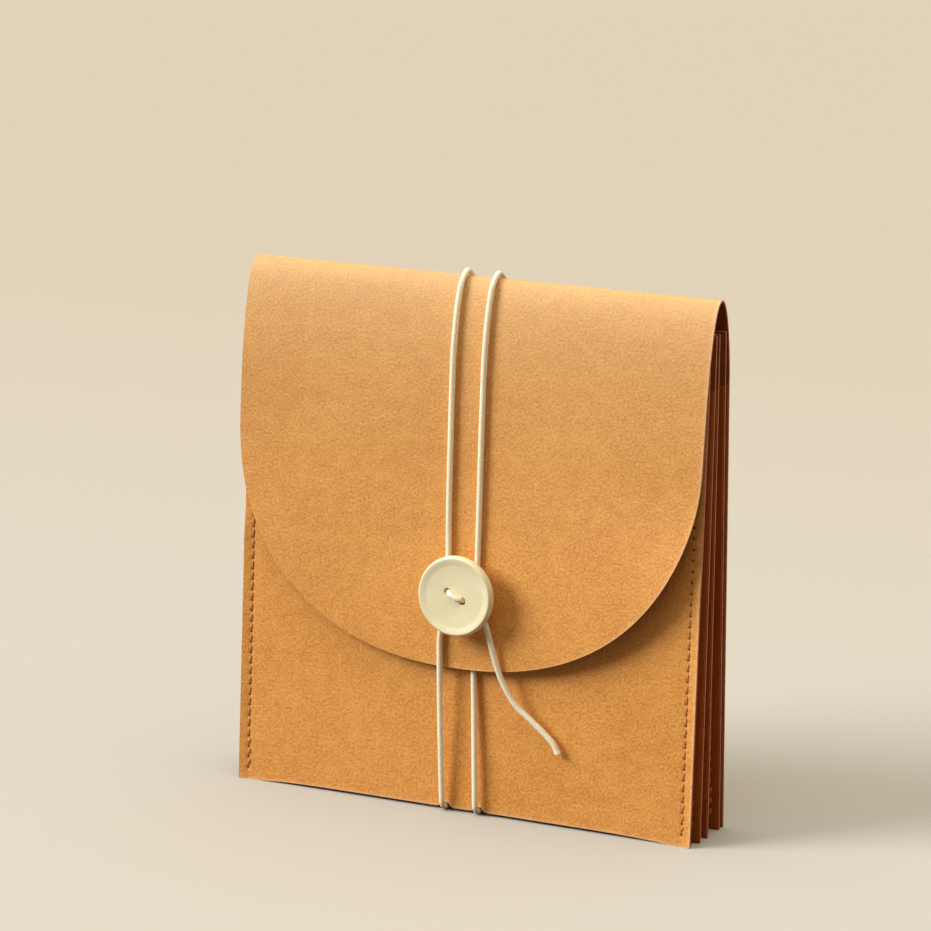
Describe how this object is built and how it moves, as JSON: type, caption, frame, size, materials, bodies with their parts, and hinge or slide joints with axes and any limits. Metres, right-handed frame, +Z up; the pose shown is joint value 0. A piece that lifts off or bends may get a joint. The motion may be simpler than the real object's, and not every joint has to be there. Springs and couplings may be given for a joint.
{
  "type": "knitting project wallet",
  "caption": "Standing tan wallet with pleated pockets under a rounded fold-over flap, held shut by a cord wound round it and caught behind a sewn button.",
  "frame": {"origin": "on the surface that the wallet stands on, under the middle of its box without the cord", "axes": "+Z up to the fold, -Y out of the flap and the button, +X to the right seen from the front"},
  "size_m": [0.17, 0.0362, 0.1813],
  "materials": {
    "sheet": "matt, finely grained tan sheet",
    "pleat": "matt, a thin folded strip of the same kind",
    "seam_thread": "matt brown sewing thread",
    "button": "satin cream",
    "cord": "matt natural cord"
  },
  "bodies": {
    "back": {"back_panel": "sheet", "seam_back_left": "seam_thread", "seam_back_right": "seam_thread", "pleat_left_4": "pleat", "pleat_right_4": "pleat", "pleat_lower_4": "pleat", "cord_winding": "cord", "cord_tail": "cord"},
    "divider_3": {"divider_3": "sheet", "seam_divider_3_left": "seam_thread", "seam_divider_3_right": "seam_thread", "pleat_left_3": "pleat", "pleat_right_3": "pleat", "pleat_lower_3": "pleat"},
    "divider_2": {"divider_2": "sheet", "seam_divider_2_left": "seam_thread", "seam_divider_2_right": "seam_thread", "pleat_left_2": "pleat", "pleat_right_2": "pleat", "pleat_lower_2": "pleat"},
    "divider_1": {"divider_1": "sheet", "seam_divider_1_left": "seam_thread", "seam_divider_1_right": "seam_thread", "pleat_left_1": "pleat", "pleat_right_1": "pleat", "pleat_lower_1": "pleat"},
    "front": {"front_panel": "sheet", "seam_front_left": "seam_thread", "seam_front_right": "seam_thread"},
    "flap": {"flap": "sheet", "button_loop": "cord", "cord_knot": "cord"},
    "button": {"button": "button"}
  },
  "joints": [
    {"name": "flap_fold", "type": "hinge", "parent": "back", "child": "flap", "pos_m": [0, 0.00968, 0.1792], "axis": [-1, 0, 0], "range_deg": [0, 175], "deforming": ["cord_winding", "cord_tail"]},
    {"name": "pocket_4", "type": "slide", "parent": "back", "child": "divider_3", "axis": [0, -1, 0], "range_m": [0, 0.008], "deforming": ["pleat_left_4", "pleat_right_4", "pleat_lower_4"]},
    {"name": "pocket_3", "type": "slide", "parent": "divider_3", "child": "divider_2", "axis": [0, -1, 0], "range_m": [0, 0.008], "deforming": ["pleat_left_3", "pleat_right_3", "pleat_lower_3"]},
    {"name": "pocket_2", "type": "slide", "parent": "divider_2", "child": "divider_1", "axis": [0, -1, 0], "range_m": [0, 0.008], "deforming": ["pleat_left_2", "pleat_right_2", "pleat_lower_2"]},
    {"name": "pocket_1", "type": "slide", "parent": "divider_1", "child": "front", "axis": [0, -1, 0], "range_m": [0, 0.008], "deforming": ["pleat_left_1", "pleat_right_1", "pleat_lower_1"]},
    {"name": "button_turn", "type": "hinge", "parent": "flap", "child": "button", "pos_m": [0.0014, -0.00656, 0.0757], "axis": [0, -0.9972, 0.075], "range_deg": [-25, 25], "deforming": ["button_loop"]}
  ],
  "couplings": [
    {"joint": "pocket_1", "follows": "flap_fold", "m_per_rad": 0.002619},
    {"joint": "pocket_2", "follows": "flap_fold", "m_per_rad": 0.002619},
    {"joint": "pocket_3", "follows": "flap_fold", "m_per_rad": 0.002619},
    {"joint": "pocket_4", "follows": "flap_fold", "m_per_rad": 0.002619}
  ]
}
